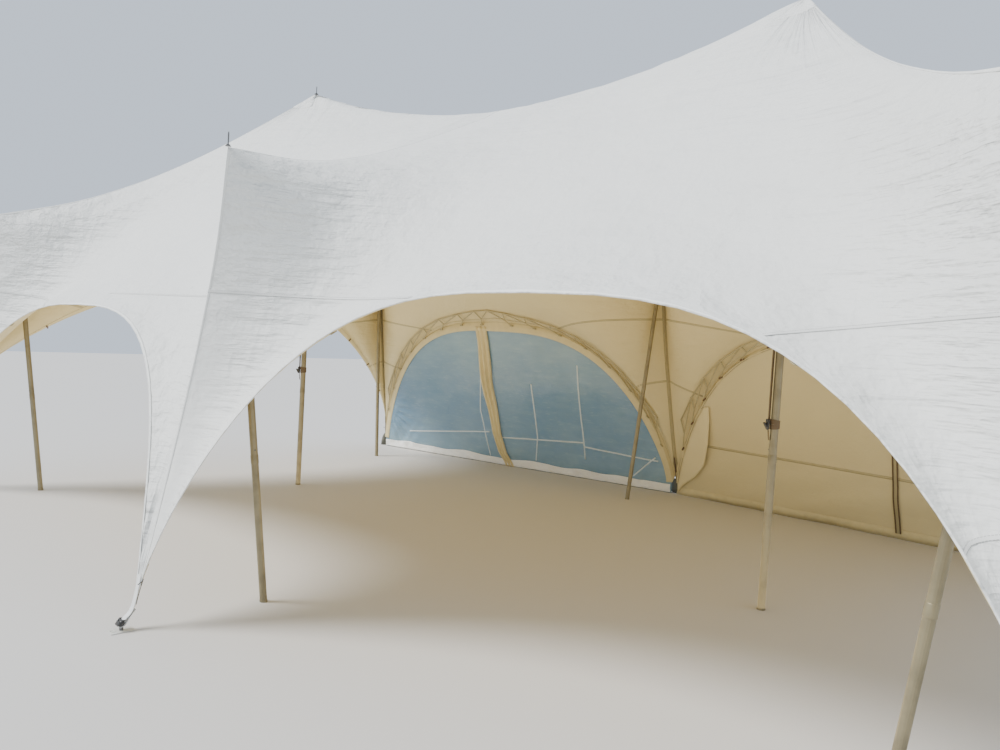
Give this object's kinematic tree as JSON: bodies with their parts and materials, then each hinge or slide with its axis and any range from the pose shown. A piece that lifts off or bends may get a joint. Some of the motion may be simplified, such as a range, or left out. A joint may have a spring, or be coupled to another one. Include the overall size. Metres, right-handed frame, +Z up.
{
  "type": "pole marquee with a scalloped stretched canopy",
  "caption": "White scalloped pole marquee with twin peaks, fabric legs to ground anchors, and a clear window wall and a plain wall at the back.",
  "frame": {"origin": "on the ground, below the middle of the footprint", "axes": "+X along the ridge from the left king pole to the right one, +Y towards the walled back, +Z up"},
  "size_m": [8.5534, 6.324, 4.004],
  "materials": {
    "canopy": "satin",
    "wall": "matte",
    "clear": "clear gloss",
    "pole": "dull",
    "spike": "satin",
    "steel": "dull",
    "strap": "matte",
    "rope": "matte"
  },
  "bodies": {
    "root": {"roof_front_left": "canopy", "roof_front_right": "canopy", "roof_right_end": "canopy", "roof_back_right": "canopy", "roof_back_left": "canopy", "roof_left_end": "canopy", "leg_front_left_left": "canopy", "leg_front_left_right": "canopy", "leg_front_middle_left": "canopy", "leg_front_middle_right": "canopy", "leg_front_right_left": "canopy", "leg_front_right_right": "canopy", "leg_back_right_left": "canopy", "leg_back_right_right": "canopy", "leg_back_middle_left": "canopy", "leg_back_middle_right": "canopy", "leg_back_left_left": "canopy", "leg_back_left_right": "canopy", "pole_front_left": "pole", "spike_front_left": "spike", "anchor_front_left": "steel", "anchor_strap_front_left": "strap", "pole_front_middle": "pole", "spike_front_middle": "spike", "anchor_front_middle": "steel", "anchor_strap_front_middle": "strap", "pole_front_right": "pole", "spike_front_right": "spike", "anchor_front_right": "steel", "anchor_strap_front_right": "strap", "pole_back_right": "pole", "spike_back_right": "spike", "anchor_back_right": "steel", "anchor_strap_back_right": "strap", "pole_back_middle": "pole", "spike_back_middle": "spike", "anchor_back_middle": "steel", "anchor_strap_back_middle": "strap", "pole_back_left": "pole", "spike_back_left": "spike", "anchor_back_left": "steel", "anchor_strap_back_left": "strap", "king_pole_left": "pole", "king_spike_left": "spike", "king_pole_right": "pole", "king_spike_right": "spike", "window_left_half": "clear", "window_right_half": "clear", "window_door_band": "wall", "window_mud_flap": "strap", "plain_wall": "wall", "plain_wall_strap": "rope", "window_lacing_rope": "rope", "plain_wall_lacing_rope": "rope"}
  },
  "joints": []
}
